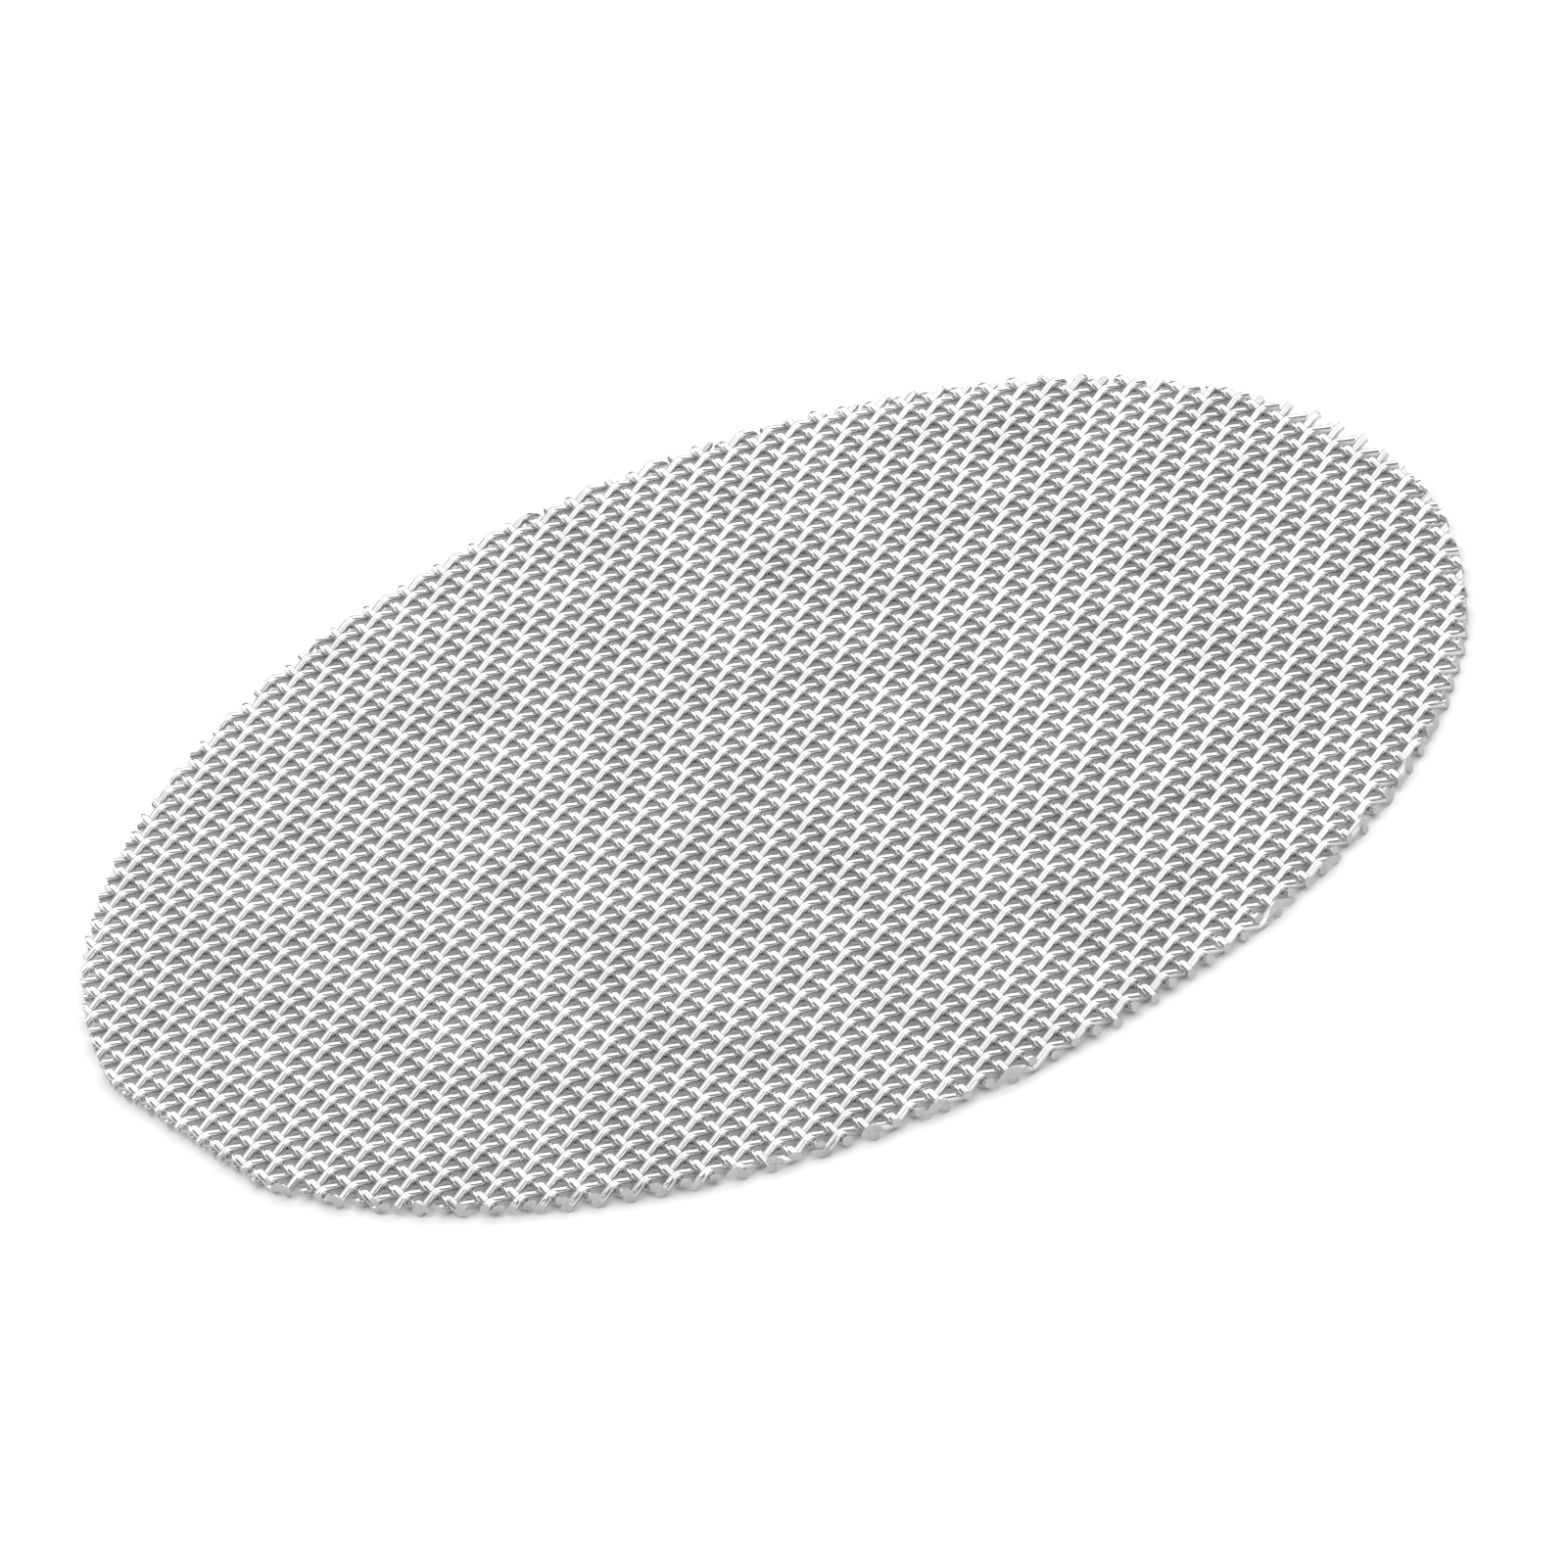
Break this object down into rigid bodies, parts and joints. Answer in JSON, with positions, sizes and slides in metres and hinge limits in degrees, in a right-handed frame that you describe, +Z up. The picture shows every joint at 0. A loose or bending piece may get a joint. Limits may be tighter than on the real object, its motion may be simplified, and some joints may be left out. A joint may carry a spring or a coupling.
{
  "type": "wire mesh filter disc",
  "caption": "Flat round filter disc cut from square woven stainless wire cloth, with bare cut wire ends at its rim, to lie in a round filter holder.",
  "frame": {"origin": "middle of the disc, in the plane that the crowns of its lower wires rest on", "axes": "+Z up through the disc's thickness, +X along the upper wires and +Y along the lower ones"},
  "size_m": [0.0584, 0.0584, 0.0007],
  "materials": {
    "steel_wire": "bright drawn stainless wire"
  },
  "bodies": {
    "root": {"mesh_disc": "steel_wire"}
  },
  "joints": []
}
